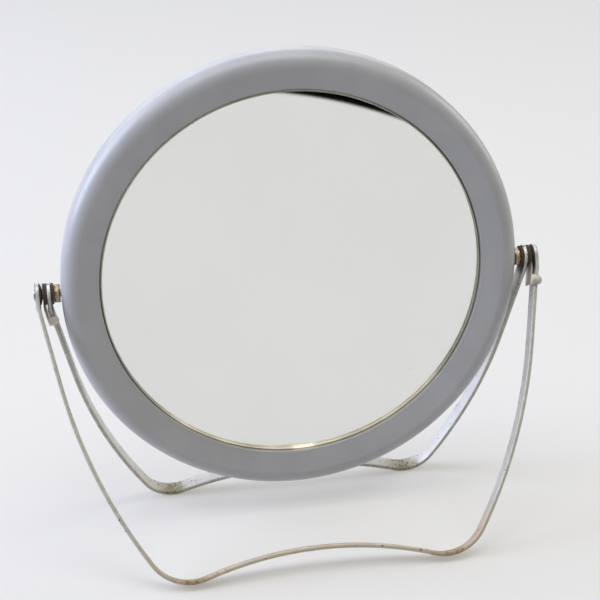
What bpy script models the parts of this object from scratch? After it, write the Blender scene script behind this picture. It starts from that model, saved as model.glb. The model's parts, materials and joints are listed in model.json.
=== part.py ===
"""A free-standing shaving mirror: a round casing with a glass on each side, on two folding strip legs.

Lengths are metres. +Z is up and the magnifying glass faces -Y. The origin is under the middle of the
bounding box. Every pivot shares one axis, which runs along X through the middle of the casing.
"""

from math import atan, cos, degrees, pi, radians, sin, sqrt, tan

import bmesh
import bpy
from mathutils import Matrix, Vector

MM = 0.001
GAP = 0.3 * MM

# The casing and its two glasses. Heights in the casing are measured from its middle plane.
CASING_RADIUS = 87.1 * MM
CASING_HALF_DEPTH = 8.0 * MM
CASING_ROUNDING = 5.5 * MM
POCKET_RADIUS = 73.0 * MM
FLANGE_RADIUS = 64.0 * MM
FLANGE_HALF = 0.8 * MM
LIP_HEIGHT = 5.5 * MM
LIP_ROUNDING = 0.6 * MM
GLASS_RADIUS = 72.5 * MM
GLASS_HEIGHT = 4.6 * MM
GLASS_CHAMFER = 0.35 * MM
PLAIN_GLASS_THICKNESS = 2.5 * MM
DISHED_GLASS_THICKNESS = 2.2 * MM
DISHED_GLASS_RADIUS = 900.0 * MM
CARD_THICKNESS = 0.7 * MM
GASKET_THICKNESS = 0.4 * MM
GASKET_INNER_RADIUS = 65.0 * MM

# The strip that both legs are bent from, and its ends.
STRIP_WIDTH = 6.4 * MM
STRIP_THICKNESS = 1.7 * MM
EAR_RADIUS = 4.3 * MM
EAR_TAPER_END = 7.5 * MM
EAR_BEND_RADIUS = 10.0 * MM

# The stack on each pivot, from the casing outwards.
SHANK_RADIUS = 1.4 * MM
HOLE_RADIUS = SHANK_RADIUS + GAP
BARREL_RADIUS = 3.4 * MM
BARREL_LENGTH = 2.3 * MM
FLAT_WASHER_RADIUS = 4.0 * MM
FLAT_WASHER_THICKNESS = 0.35 * MM
PLATE_THICKNESS = 0.5 * MM
SPRING_WASHER_RADIUS = 3.9 * MM
SPRING_WASHER_THICKNESS = 0.25 * MM
SPRING_WASHER_HEIGHT = 0.4 * MM
HEAD_RADIUS = 2.2 * MM
HEAD_HEIGHT = 0.5 * MM
INSERT_RADIUS = 3.0 * MM
INSERT_DEPTH = 0.6 * MM
INSERT_LENGTH = 8.0 * MM
SHANK_END = 79.5 * MM

# The stop plate's tongue, bent inwards along its leg, and the tab that is bent over the leg's front edge.
PLATE_RADIUS = 4.1 * MM
TONGUE_BEND_START = 4.4 * MM
TONGUE_BEND_RADIUS = 6.0 * MM
TONGUE_SPLAY = radians(11.0)
TAB_START = 8.0 * MM
TAB_END = 11.8 * MM
TAB_REACH = 4.1 * MM
TAB_CORNER = 1.1 * MM
TAB_BEND_RADIUS = 0.8 * MM
TAB_INSET = 0.03 * MM

BARREL_START = CASING_RADIUS + GAP
BARREL_WASHER_START = BARREL_START + BARREL_LENGTH + GAP
REAR_EAR_X = BARREL_WASHER_START + FLAT_WASHER_THICKNESS + GAP + STRIP_THICKNESS / 2
LEG_WASHER_START = REAR_EAR_X + STRIP_THICKNESS / 2 + GAP
PLATE_START = LEG_WASHER_START + FLAT_WASHER_THICKNESS + GAP
SPRING_WASHER_START = PLATE_START + PLATE_THICKNESS + GAP
FRONT_EAR_X = SPRING_WASHER_START + SPRING_WASHER_HEIGHT + GAP + STRIP_THICKNESS / 2
HEAD_START = FRONT_EAR_X + STRIP_THICKNESS / 2 + GAP
HEAD_END = HEAD_START + HEAD_HEIGHT

# Each leg: how far it leans, where its ears stand, and the bends of its outline.
PIVOT_HEIGHT = 99.0 * MM
FRONT_LEG = {
    "lean": radians(29.0),
    "side": -1,
    "ear_x": FRONT_EAR_X,
    "ear_end": 4.6 * MM,
    "splay": radians(11.0),
    "straight_end": 34.0 * MM,
    "foot_splay": radians(33.0),
    "foot_radius": 17.0 * MM,
    "arch": 7.5 * MM,
}
REAR_LEG = {
    "lean": radians(10.5),
    "side": 1,
    "ear_x": REAR_EAR_X,
    "ear_end": 4.6 * MM,
    "splay": radians(12.8),
    "straight_end": 35.0 * MM,
    "foot_splay": radians(34.0),
    "foot_radius": 13.2 * MM,
    "arch": 8.0 * MM,
}

RING_STEPS = 64
SMALL_STEPS = 24
SMOOTH_ANGLE = radians(35.0)
MERGE = 0.00001

PARTS = "shaving_mirror"
CUTTERS = "cutters"

# Base colour, roughness and metallic value.
FINISHES = {
    "casing_plastic": ((0.50, 0.51, 0.58), 0.30, 0.0),
    "mirror_glass": ((0.86, 0.87, 0.86), 0.03, 1.0),
    "card": ((0.34, 0.27, 0.19), 0.90, 0.0),
    "gasket_rubber": ((0.05, 0.05, 0.05), 0.80, 0.0),
    "brass": ((0.60, 0.46, 0.26), 0.35, 1.0),
    "nickel_plated_steel": ((0.62, 0.61, 0.58), 0.32, 1.0),
    "dull_steel": ((0.42, 0.39, 0.33), 0.45, 1.0),
}


def clear_scene():
    for obj in list(bpy.data.objects):
        bpy.data.objects.remove(obj, do_unlink=True)
    for name in (PARTS, CUTTERS):
        collection = bpy.data.collections.new(name)
        bpy.context.scene.collection.children.link(collection)


def finish_material(name):
    found = bpy.data.materials.get(name)
    if found:
        return found
    colour, roughness, metallic = FINISHES[name]
    material = bpy.data.materials.new(name)
    material.use_nodes = True
    shader = material.node_tree.nodes["Principled BSDF"]
    shader.inputs["Base Color"].default_value = (*colour, 1.0)
    shader.inputs["Roughness"].default_value = roughness
    shader.inputs["Metallic"].default_value = metallic
    return material


def add_object(name, mesh, matrix, finish, parent):
    obj = bpy.data.objects.new(name, mesh)
    bpy.data.collections[PARTS].objects.link(obj)
    obj.parent = parent
    obj.matrix_local = matrix
    mesh.materials.clear()
    mesh.materials.append(finish_material(finish))
    return obj


def add_cutter(name, mesh, matrix, parent):
    obj = bpy.data.objects.new(name, mesh)
    bpy.data.collections[CUTTERS].objects.link(obj)
    obj.parent = parent
    obj.matrix_local = matrix
    obj.hide_render = True
    obj.display_type = "WIRE"
    return obj


def add_boolean(obj, cutter, operation):
    modifier = obj.modifiers.new(operation.lower(), "BOOLEAN")
    modifier.operation = operation
    modifier.solver = "EXACT"
    modifier.object = cutter


def shade(mesh):
    mesh.shade_smooth()
    mesh.set_sharp_from_angle(angle=SMOOTH_ANGLE)


# Turned pieces ---------------------------------------------------------------


def turned(name, profile, matrix, finish, parent, steps, ring=False):
    """A profile of (radius, height) points turned about local Z. A ring's profile is a closed loop."""
    mesh = bpy.data.meshes.new(name)
    edges = [(i, i + 1) for i in range(len(profile) - 1)]
    if ring:
        edges.append((len(profile) - 1, 0))
    mesh.from_pydata([(radius, 0.0, height) for radius, height in profile], edges, [])
    obj = add_object(name, mesh, matrix, finish, parent)
    screw = obj.modifiers.new("turn", "SCREW")
    screw.axis = "Z"
    screw.steps = steps
    screw.render_steps = steps
    screw.use_merge_vertices = True
    screw.merge_threshold = MERGE
    screw.use_smooth_shade = True
    return obj


def tube_profile(inner, outer, low, high, chamfer=0.0):
    """The closed section of a tube, down the outer side and up the inner one."""
    return [
        (inner + chamfer, high),
        (outer - chamfer, high),
        (outer, high - chamfer),
        (outer, low + chamfer),
        (outer - chamfer, low),
        (inner + chamfer, low),
        (inner, low + chamfer),
        (inner, high - chamfer),
    ]


def plain_tube_profile(inner, outer, low, high):
    return [(inner, high), (outer, high), (outer, low), (inner, low)]


def arc(centre, radius, start, end, count):
    """Points of an arc, by angle from the first axis."""
    angles = [start + (end - start) * i / count for i in range(count + 1)]
    return [(centre[0] + radius * cos(a), centre[1] + radius * sin(a)) for a in angles]


def casing_profile():
    """The section of the casing: a rounded ring with a pocket on each side and a flange between them."""
    shoulder = (CASING_RADIUS - CASING_ROUNDING, CASING_HALF_DEPTH - CASING_ROUNDING)
    lip = (POCKET_RADIUS + LIP_ROUNDING, LIP_HEIGHT - LIP_ROUNDING)
    half = [(FLANGE_RADIUS, FLANGE_HALF), (POCKET_RADIUS, FLANGE_HALF)]
    half += arc(lip, LIP_ROUNDING, pi, radians(105.0), 3)
    half += arc(shoulder, CASING_ROUNDING, radians(100.0), 0.0, 8)
    return half + [(radius, -height) for radius, height in reversed(half)]


def disc_profile(radius, low, high, chamfer=0.0):
    """The half section of a disc, from the axis out, down its edge and back to the axis."""
    if chamfer == 0.0:
        return [(0.0, high), (radius, high), (radius, low), (0.0, low)]
    return [
        (0.0, high),
        (radius - chamfer, high),
        (radius, high - chamfer),
        (radius, low + chamfer),
        (radius - chamfer, low),
        (0.0, low),
    ]


def dished_glass_profile():
    """The magnifying glass, slumped to a sphere so that its middle lies deeper than its edge."""
    count = 6
    rim = GLASS_RADIUS - GLASS_CHAMFER
    deepest = DISHED_GLASS_RADIUS - sqrt(DISHED_GLASS_RADIUS**2 - rim**2)
    radii = [rim * i / count for i in range(count + 1)]
    rises = [DISHED_GLASS_RADIUS - sqrt(DISHED_GLASS_RADIUS**2 - radius**2) for radius in radii]
    outer = [(radius, GLASS_HEIGHT - deepest + rise) for radius, rise in zip(radii, rises)]
    inner = [(radius, height - DISHED_GLASS_THICKNESS) for radius, height in outer]
    edge_high = (GLASS_RADIUS, GLASS_HEIGHT - GLASS_CHAMFER)
    edge_low = (GLASS_RADIUS, GLASS_HEIGHT - DISHED_GLASS_THICKNESS + GLASS_CHAMFER)
    return outer + [edge_high, edge_low] + list(reversed(inner))


def pin_profile():
    """A long shank that ends in the casing, with a low domed head outside the front leg's ear."""
    tip = 0.4 * MM
    dome = [
        (HEAD_RADIUS * sin(a), HEAD_START + HEAD_HEIGHT * (0.35 + 0.65 * cos(a)))
        for a in [radians(angle) for angle in (0, 22.5, 45, 67.5, 90)]
    ]
    shank = [(SHANK_RADIUS, HEAD_START), (SHANK_RADIUS, SHANK_END + tip), (SHANK_RADIUS - tip, SHANK_END)]
    return dome + [(HEAD_RADIUS, HEAD_START)] + shank + [(0.0, SHANK_END)]


def spring_washer_profile():
    """A dished washer: its bore is lifted towards the casing by what its section leaves of its height."""
    lift = SPRING_WASHER_HEIGHT - SPRING_WASHER_THICKNESS
    low = SPRING_WASHER_START
    high = low + SPRING_WASHER_THICKNESS
    return [
        (HOLE_RADIUS, high),
        (SPRING_WASHER_RADIUS, high + lift),
        (SPRING_WASHER_RADIUS, low + lift),
        (HOLE_RADIUS, low),
    ]


# Flat and bent pieces --------------------------------------------------------


def outline_mesh(name, points, half_thickness):
    """A closed outline in local XY, filled and given a thickness along local Z, as a welded mesh."""
    curve = bpy.data.curves.new(name, "CURVE")
    curve.dimensions = "2D"
    curve.fill_mode = "BOTH"
    curve.extrude = half_thickness
    spline = curve.splines.new("POLY")
    spline.points.add(len(points) - 1)
    for point, (x, y) in zip(spline.points, points):
        point.co = (x, y, 0.0, 1.0)
    spline.use_cyclic_u = True
    holder = bpy.data.objects.new(name + "_outline", curve)
    bpy.context.scene.collection.objects.link(holder)
    graph = bpy.context.evaluated_depsgraph_get()
    mesh = bpy.data.meshes.new_from_object(holder.evaluated_get(graph))
    bpy.data.objects.remove(holder, do_unlink=True)
    bpy.data.curves.remove(curve)
    form = bmesh.new()
    form.from_mesh(mesh)
    bmesh.ops.remove_doubles(form, verts=form.verts, dist=MERGE)
    bmesh.ops.recalc_face_normals(form, faces=form.faces)
    form.to_mesh(mesh)
    form.free()
    return mesh


def cylinder_mesh(name, radius, length):
    """A cylinder about local Z, centred on the origin."""
    form = bmesh.new()
    bmesh.ops.create_cone(
        form, cap_ends=True, segments=SMALL_STEPS, radius1=radius, radius2=radius, depth=length
    )
    mesh = bpy.data.meshes.new(name)
    form.to_mesh(mesh)
    form.free()
    return mesh


def bend(start, radius, angle_from, angle_to, count):
    """Points along a bend. The path's direction at angle a is (-sin a, cos a): inwards and down the leg."""
    sign = 1 if angle_to > angle_from else -1
    points = []
    for i in range(1, count + 1):
        a = angle_from + (angle_to - angle_from) * i / count
        x = start[0] + sign * radius * (cos(a) - cos(angle_from))
        s = start[1] + sign * radius * (sin(a) - sin(angle_from))
        points.append((x, s))
    return points


def leg_length(leg):
    """From the pivot axis to the strip's centre line at the foot, so that the foot touches the floor."""
    return (PIVOT_HEIGHT - STRIP_WIDTH / 2 * sin(leg["lean"])) / cos(leg["lean"]) - STRIP_THICKNESS / 2


def leg_half_path(leg):
    """The centre line of one side, from the ear's top to the middle of the crossbar, as (x, down the leg).

    A straight ear, a small bend, a straight run, one long bow, the foot's bend and the crossbar's low arch.
    """
    splay = leg["splay"]
    foot = leg["foot_splay"]
    radius = leg["foot_radius"]
    path = [(leg["ear_x"], -EAR_RADIUS), (leg["ear_x"], leg["ear_end"])]
    path += bend(path[-1], EAR_BEND_RADIUS, 0.0, splay, 3)
    run = leg["straight_end"] - path[-1][1]
    path.append((path[-1][0] - run * tan(splay), leg["straight_end"]))
    drop = leg_length(leg) - path[-1][1] - radius * (1 - sin(foot))
    bow_radius = drop / (sin(foot) - sin(splay))
    path += bend(path[-1], bow_radius, splay, foot, 14)
    foot_x = path[-1][0] - radius * cos(foot)
    rise = 2 * atan(leg["arch"] / foot_x)
    path += bend(path[-1], radius, foot, pi / 2 + rise, 12)
    path += bend(path[-1], foot_x / sin(rise) - radius, pi / 2 + rise, pi / 2, 10)
    return path


def offset_path(path, distance):
    """The path moved sideways by distance, square to its own direction at each point."""
    moved = []
    for i, (x, s) in enumerate(path):
        before = Vector(path[max(i - 1, 0)])
        after = Vector(path[min(i + 1, len(path) - 1)])
        along = (after - before).normalized()
        moved.append((x + along.y * distance, s - along.x * distance))
    return moved


def bent_outline(path, thickness):
    """A bent sheet seen along its width: both of its sides, in local XY with Y up the leg."""
    outer = offset_path(path, thickness / 2)
    inner = offset_path(path, -thickness / 2)
    return [(x, -s) for x, s in outer + list(reversed(inner))]


def leg_outline(leg):
    """The strip seen along its width: the whole U."""
    half = leg_half_path(leg)
    return bent_outline(half + [(-x, s) for x, s in reversed(half[:-1])], STRIP_THICKNESS)


def leg_side_outline(leg):
    """The strip seen along X: a round ear that tapers to the plain strip and runs on past the foot."""
    half_width = STRIP_WIDTH / 2
    beyond = -(leg_length(leg) + EAR_RADIUS)
    ear = arc((0.0, 0.0), EAR_RADIUS, radians(-100.0), radians(100.0), 16)
    near_side = [(-EAR_TAPER_END, half_width), (beyond, half_width)]
    far_side = [(beyond, -half_width), (-EAR_TAPER_END, -half_width)]
    return ear + near_side + far_side


def leg_frame(leg):
    """Local Y points up the leg from the pivot axis, and local Z across the strip towards the front."""
    return Matrix.Rotation(pi / 2 + leg["side"] * leg["lean"], 4, "X")


def build_leg(name, leg, parent):
    """The bent strip, made too wide and cut to its side outline, with the pivot holes drilled."""
    mesh = outline_mesh(name, leg_outline(leg), EAR_RADIUS + GAP)
    obj = add_object(name, mesh, leg_frame(leg), "nickel_plated_steel", parent)
    side = outline_mesh(name + "_side", leg_side_outline(leg), CASING_RADIUS + EAR_BEND_RADIUS + STRIP_WIDTH)
    turn = Matrix(((0, 0, 1, 0), (1, 0, 0, 0), (0, 1, 0, 0), (0, 0, 0, 1)))
    side_cutter = add_cutter(name + "_side_cutter", side, leg_frame(leg) @ turn, parent)
    drill = cylinder_mesh(name + "_drill", HOLE_RADIUS, 2 * (CASING_RADIUS + STRIP_WIDTH * 2))
    drill_cutter = add_cutter(name + "_drill_cutter", drill, Matrix.Rotation(pi / 2, 4, "Y"), parent)
    add_boolean(obj, side_cutter, "INTERSECT")
    add_boolean(obj, drill_cutter, "DIFFERENCE")
    shade(mesh)
    return obj


def plate_path(end):
    """The plate's centre line seen along its width: flat on the pivot, then bent inwards down to end."""
    path = [(PLATE_START + PLATE_THICKNESS / 2, -PLATE_RADIUS - GAP)]
    path.append((path[0][0], TONGUE_BEND_START))
    path += bend(path[-1], TONGUE_BEND_RADIUS, 0.0, TONGUE_SPLAY, 3)
    run = end - path[-1][1]
    return path + [(path[-1][0] - run * tan(TONGUE_SPLAY), end)]


def plate_outline():
    """The stop plate's face: a disc around the pivot and a tongue down the leg."""
    tongue = STRIP_WIDTH / 2
    top = arc((0.0, 0.0), PLATE_RADIUS, radians(-125.0), radians(125.0), 18)
    near_side = [(-TAB_START, tongue), (-TAB_END, tongue - TAB_CORNER)]
    far_side = [(-TAB_END, -tongue + TAB_CORNER), (-TAB_START, -tongue)]
    return top + near_side + far_side


def tab_outline():
    """The tab seen down the tongue: it leaves the tongue forwards and is bent over towards +X."""
    thickness = PLATE_THICKNESS - 2 * TAB_INSET
    inner_face = STRIP_WIDTH / 2 + GAP
    outer_face = inner_face + thickness
    left = TAB_INSET - PLATE_THICKNESS / 2
    centre = (left + TAB_BEND_RADIUS, outer_face - TAB_BEND_RADIUS)
    inner_bend = arc(centre, TAB_BEND_RADIUS - thickness, pi / 2, pi, 3)
    outer_bend = arc(centre, TAB_BEND_RADIUS, pi, pi / 2, 4)
    start = [(left + thickness, 0.0), (left, 0.0)]
    end = [(TAB_REACH, outer_face), (TAB_REACH, inner_face)]
    return start + outer_bend + end + inner_bend


def build_stop_plate(name, side, leg, parent):
    """A stamped plate on the pivot. side is -1 or 1. Both plates are the same stamping, tab towards +X."""
    frame = leg_frame(leg)
    bent = bent_outline(plate_path(TAB_END + GAP), PLATE_THICKNESS)
    sheet = outline_mesh(name, [(side * x, y) for x, y in bent], PLATE_RADIUS + GAP)
    obj = add_object(name, sheet, frame, "dull_steel", parent)
    face = outline_mesh(name + "_face", plate_outline(), STRIP_WIDTH)
    to_yz = Matrix(((0, 0, 1, 0), (1, 0, 0, 0), (0, 1, 0, 0), (0, 0, 0, 1)))
    face_place = frame @ Matrix.Translation((side * PLATE_START, 0, 0)) @ to_yz
    face_cutter = add_cutter(name + "_face_cutter", face, face_place, parent)
    tab = outline_mesh(name + "_tab", tab_outline(), (TAB_END - TAB_START) / 2)
    to_xz = Matrix(((1, 0, 0, 0), (0, 0, -1, 0), (0, 1, 0, 0), (0, 0, 0, 1)))
    tab_x, tab_down = plate_path((TAB_START + TAB_END) / 2)[-1]
    turn = Matrix.Rotation(-side * TONGUE_SPLAY, 4, "Z")
    tab_place = frame @ Matrix.Translation((side * tab_x, -tab_down, 0)) @ turn @ to_xz
    tab_joiner = add_cutter(name + "_tab_joiner", tab, tab_place, parent)
    drill = cylinder_mesh(name + "_drill", HOLE_RADIUS, STRIP_WIDTH)
    drill_place = Matrix.Translation((side * PLATE_START, 0, 0)) @ Matrix.Rotation(pi / 2, 4, "Y")
    drill_cutter = add_cutter(name + "_drill_cutter", drill, drill_place, parent)
    add_boolean(obj, face_cutter, "INTERSECT")
    add_boolean(obj, tab_joiner, "UNION")
    add_boolean(obj, drill_cutter, "DIFFERENCE")
    shade(sheet)
    return obj


# The assemblies --------------------------------------------------------------


def build_casing(parent, facing_front):
    obj = turned("casing", casing_profile(), facing_front, "casing_plastic", parent, RING_STEPS, ring=True)
    hole_length = INSERT_DEPTH + INSERT_LENGTH + STRIP_WIDTH
    for side, word in ((-1, "left"), (1, "right")):
        mesh = cylinder_mesh(word + "_insert_bore", INSERT_RADIUS + GAP, hole_length)
        deepest = CASING_RADIUS - INSERT_DEPTH - INSERT_LENGTH - GAP
        middle = Matrix.Translation((side * (deepest + hole_length / 2), 0, 0))
        place = middle @ Matrix.Rotation(pi / 2, 4, "Y")
        add_boolean(obj, add_cutter(word + "_insert_bore_cutter", mesh, place, parent), "DIFFERENCE")


def build_mirror(parent):
    """The casing with everything that turns with it, except what is on the pivots."""
    facing_front = Matrix.Rotation(pi / 2, 4, "X")
    facing_back = Matrix.Rotation(-pi / 2, 4, "X")
    build_casing(parent, facing_front)
    turned("front_glass", dished_glass_profile(), facing_front, "mirror_glass", parent, RING_STEPS)
    layer_low = FLANGE_HALF + GAP
    gasket_high = layer_low + GASKET_THICKNESS
    gasket = plain_tube_profile(GASKET_INNER_RADIUS, GLASS_RADIUS - GAP, layer_low, gasket_high)
    turned("front_gasket", gasket, facing_front, "gasket_rubber", parent, RING_STEPS, ring=True)
    plain_back = GLASS_HEIGHT - PLAIN_GLASS_THICKNESS
    plain = disc_profile(GLASS_RADIUS, plain_back, GLASS_HEIGHT, GLASS_CHAMFER)
    turned("rear_glass", plain, facing_back, "mirror_glass", parent, RING_STEPS)
    card = disc_profile(GLASS_RADIUS - GAP, layer_low, layer_low + CARD_THICKNESS)
    turned("rear_backing_card", card, facing_back, "card", parent, RING_STEPS)


def build_pivot(side, word, parent):
    """The pin, its insert in the casing and the pieces stacked on it. Local Z runs outwards."""
    outwards = Matrix.Rotation(side * pi / 2, 4, "Y")
    insert_end = CASING_RADIUS - INSERT_DEPTH
    insert = tube_profile(HOLE_RADIUS, INSERT_RADIUS, insert_end - INSERT_LENGTH, insert_end, GAP)
    turned(word + "_threaded_insert", insert, outwards, "brass", parent, SMALL_STEPS, ring=True)
    barrel = tube_profile(HOLE_RADIUS, BARREL_RADIUS, BARREL_START, BARREL_START + BARREL_LENGTH, GAP)
    turned(word + "_barrel_spacer", barrel, outwards, "brass", parent, SMALL_STEPS, ring=True)
    for place, start in (("_barrel_washer", BARREL_WASHER_START), ("_leg_washer", LEG_WASHER_START)):
        washer = plain_tube_profile(HOLE_RADIUS, FLAT_WASHER_RADIUS, start, start + FLAT_WASHER_THICKNESS)
        turned(word + place, washer, outwards, "dull_steel", parent, SMALL_STEPS, ring=True)
    spring = spring_washer_profile()
    turned(word + "_spring_washer", spring, outwards, "dull_steel", parent, SMALL_STEPS, ring=True)
    turned(word + "_pivot_pin", pin_profile(), outwards, "nickel_plated_steel", parent, SMALL_STEPS)


def foot_reach(leg):
    """How far the foot reaches from the pivot axis, level with the floor."""
    depth = leg_length(leg) + STRIP_THICKNESS / 2
    return depth * sin(leg["lean"]) + STRIP_WIDTH / 2 * cos(leg["lean"])


def build_pivot_axis():
    """An empty on the pivot axis, placed so that the bounding box stands on the floor around the origin.

    The pins' heads are the widest points on both sides, so the box is centred on the casing's middle.
    """
    middle_y = (foot_reach(FRONT_LEG) - foot_reach(REAR_LEG)) / 2
    axis = bpy.data.objects.new("pivot_axis", None)
    bpy.data.collections[PARTS].objects.link(axis)
    axis.location = (0.0, middle_y, PIVOT_HEIGHT)
    return axis


def main():
    clear_scene()
    axis = build_pivot_axis()
    build_mirror(axis)
    build_pivot(-1, "left", axis)
    build_pivot(1, "right", axis)
    build_leg("front_leg", FRONT_LEG, axis)
    build_leg("rear_leg", REAR_LEG, axis)
    build_stop_plate("left_stop_plate", -1, REAR_LEG, axis)
    build_stop_plate("right_stop_plate", 1, FRONT_LEG, axis)
    print(f"pivot axis at {tuple(round(v, 6) for v in axis.location)}, legs lean", end=" ")
    print(f"{degrees(FRONT_LEG['lean']):.1f} and {degrees(REAR_LEG['lean']):.1f} degrees")


main()
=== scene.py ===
"""The looks of the shaving mirror: fine meshes, procedural materials, a pale studio and the camera.

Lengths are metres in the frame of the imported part. Meshes on the pivots are built around the pivot axis.
"""

import json
from math import atan, cos, pi, radians, sin, tan

import bmesh
import bpy
import numpy as np
from mathutils import Matrix, Vector


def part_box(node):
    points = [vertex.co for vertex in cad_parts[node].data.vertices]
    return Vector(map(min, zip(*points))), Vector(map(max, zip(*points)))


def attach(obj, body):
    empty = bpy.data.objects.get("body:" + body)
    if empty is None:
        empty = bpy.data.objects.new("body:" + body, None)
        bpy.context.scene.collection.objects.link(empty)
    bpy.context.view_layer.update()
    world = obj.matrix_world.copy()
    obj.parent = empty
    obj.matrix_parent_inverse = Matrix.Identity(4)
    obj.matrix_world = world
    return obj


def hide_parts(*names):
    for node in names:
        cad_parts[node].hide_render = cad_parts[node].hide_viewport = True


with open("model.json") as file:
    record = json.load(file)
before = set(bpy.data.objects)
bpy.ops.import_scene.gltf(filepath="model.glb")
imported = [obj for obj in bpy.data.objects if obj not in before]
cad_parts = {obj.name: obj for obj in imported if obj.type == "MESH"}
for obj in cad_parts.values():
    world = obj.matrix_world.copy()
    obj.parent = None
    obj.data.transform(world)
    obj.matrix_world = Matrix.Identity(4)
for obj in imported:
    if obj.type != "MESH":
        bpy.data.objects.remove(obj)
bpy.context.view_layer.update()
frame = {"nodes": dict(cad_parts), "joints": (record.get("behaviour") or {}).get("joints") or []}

MM = 0.001
PIVOT = Vector(frame["joints"][0]["pos_m"])


def size_along(node, axis):
    low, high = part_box(node)
    return high[axis] - low[axis]


def span_from_pivot(node):
    """How far from the pivots' middle a node starts and ends, along the pivot axis."""
    low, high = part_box(node)
    return sorted((abs(low[0] - PIVOT.x), abs(high[0] - PIVOT.x)))


# Driving dimensions. Those of the stack on each pivot come from the frame's nodes.
CASING_RADIUS = size_along("casing", 2) / 2
CASING_HALF_DEPTH = size_along("casing", 1) / 2
CASING_ROUNDING = 5.5 * MM
POCKET_RADIUS = 73.0 * MM
FLANGE_RADIUS = 64.0 * MM
FLANGE_HALF = 0.8 * MM
LIP_HEIGHT = 5.5 * MM
LIP_ROUNDING = 0.6 * MM
BORE_RADIUS = 3.3 * MM

GLASS_RADIUS = size_along("front_glass", 2) / 2
GLASS_HEIGHT = 4.6 * MM
GLASS_CHAMFER = 0.5 * MM
GLASS_RINGS = 20
PLAIN_GLASS_THICKNESS = size_along("rear_glass", 1)
DISHED_GLASS_THICKNESS = 2.2 * MM
DISHED_GLASS_RADIUS = 900.0 * MM
# Painted light on the front glass's ground edge: a faint glow all round, more at its foot, and a painted
# glint there.
EDGE_GLOW = 0.08
GLINT_PLACE = 2.5 * MM
SILVER_THICKNESS = 0.1 * MM
SILVER_MARGIN = 0.12 * MM

STRIP_WIDTH = 6.4 * MM
STRIP_THICKNESS = 1.7 * MM
STRIP_ROUNDING = 0.7 * MM
STRIP_CORNER_STEPS = 4
EAR_RADIUS = 4.3 * MM
EAR_TAPER_END = 7.5 * MM
EAR_BEND_RADIUS = 10.0 * MM
HOLE_RADIUS = 1.7 * MM
DRILL_REACH = 120.0 * MM
SHANK_RADIUS = 1.4 * MM
HEAD_RADIUS = 2.2 * MM
HEAD_HEIGHT = 0.5 * MM
SPRING_WASHER_THICKNESS = 0.25 * MM
WASHER_GROWTH = 0.22 * MM

# How far the strips' wear and dirt reach. Round the pivot the dark is dirt and painted shade.
EDGE_WEAR_REACH = 0.35 * MM
EDGE_WEAR_FADE = 0.3 * MM
FOOT_WEAR_REACH = 9.0 * MM
BAR_TAN_REACH = 22.0 * MM
BAR_TAN_FADE = 14.0 * MM
EAR_DIRT_AND_SHADE_REACH = 9.0 * MM
FACE_DEPTH = 0.4 * MM

PLATE_THICKNESS = 0.5 * MM
PLATE_RADIUS = 4.1 * MM
TONGUE_BEND_START = 4.4 * MM
TONGUE_BEND_RADIUS = 6.0 * MM
TONGUE_SPLAY = radians(11.0)
TAB_START = 8.0 * MM
TAB_END = 11.8 * MM
TAB_REACH = 4.1 * MM
TAB_CORNER = 1.1 * MM
TAB_BEND_RADIUS = 0.8 * MM
TAB_INSET = 0.03 * MM
GAP = 0.3 * MM

PIVOT_HEIGHT = PIVOT.z
REAR_EAR_X = span_from_pivot("left_barrel_washer")[1] + GAP + STRIP_THICKNESS / 2
FRONT_EAR_X = span_from_pivot("left_spring_washer")[1] + GAP + STRIP_THICKNESS / 2
FRONT_LEG = {
    "lean": radians(29.0),
    "side": -1,
    "ear_x": FRONT_EAR_X,
    "ear_end": 4.6 * MM,
    "splay": radians(11.0),
    "straight_end": 34.0 * MM,
    "foot_splay": radians(33.0),
    "foot_radius": 17.0 * MM,
    "arch": 7.5 * MM,
    "bar_tan": 1.0,
}
REAR_LEG = {
    "lean": radians(10.5),
    "side": 1,
    "ear_x": REAR_EAR_X,
    "ear_end": 4.6 * MM,
    "splay": radians(12.8),
    "straight_end": 35.0 * MM,
    "foot_splay": radians(34.0),
    "foot_radius": 13.2 * MM,
    "arch": 8.0 * MM,
    "bar_tan": 0.15,
}

RING_STEPS = 256
SMALL_STEPS = 64

# A dark card lies on the floor in front, out of view, for the dark edge at the top of the glass.
CARD_CORNER = Vector((61.5 * MM, -400.5 * MM, 0.2 * MM - PIVOT_HEIGHT))
CARD_TURN = radians(180.0 + 27.3)
CARD_FADE = 5.0 * MM
CARD_SIZE = 1.2
FLOOR_REACH = 7.0
FLOOR_GLOW = 0.335


# Mesh building ----------------------------------------------------------------


def finished_object(name, form, matrix, material, smooth_angle=35.0):
    """A new object from a bmesh, shaded smooth up to an angle."""
    mesh = bpy.data.meshes.new(name)
    bmesh.ops.recalc_face_normals(form, faces=form.faces)
    form.to_mesh(mesh)
    form.free()
    mesh.shade_smooth()
    mesh.set_sharp_from_angle(angle=radians(smooth_angle))
    obj = bpy.data.objects.new(name, mesh)
    bpy.context.scene.collection.objects.link(obj)
    obj.matrix_world = matrix
    mesh.materials.append(material)
    return obj


def turned(name, profile, matrix, material, steps, ring=False):
    """A profile of (radius, height) points turned about local Z. A ring's profile is a closed loop."""
    form = bmesh.new()
    turns = [2 * pi * i / steps for i in range(steps)]
    loops = []
    for radius, height in profile:
        if radius < 1e-7:
            loops.append([form.verts.new((0.0, 0.0, height))])
        else:
            loops.append([form.verts.new((radius * cos(t), radius * sin(t), height)) for t in turns])
    pairs = list(zip(loops, loops[1:]))
    if ring:
        pairs.append((loops[-1], loops[0]))
    for upper, lower in pairs:
        for i in range(steps):
            corners = [upper[i % len(upper)], upper[(i + 1) % len(upper)]]
            corners += [lower[(i + 1) % len(lower)], lower[i % len(lower)]]
            unique = list(dict.fromkeys(corners))
            if len(unique) > 2:
                form.faces.new(unique)
    return finished_object(name, form, matrix, material)


def arc(centre, radius, start, end, count):
    angles = [start + (end - start) * i / count for i in range(count + 1)]
    return [(centre[0] + radius * cos(a), centre[1] + radius * sin(a)) for a in angles]


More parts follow.
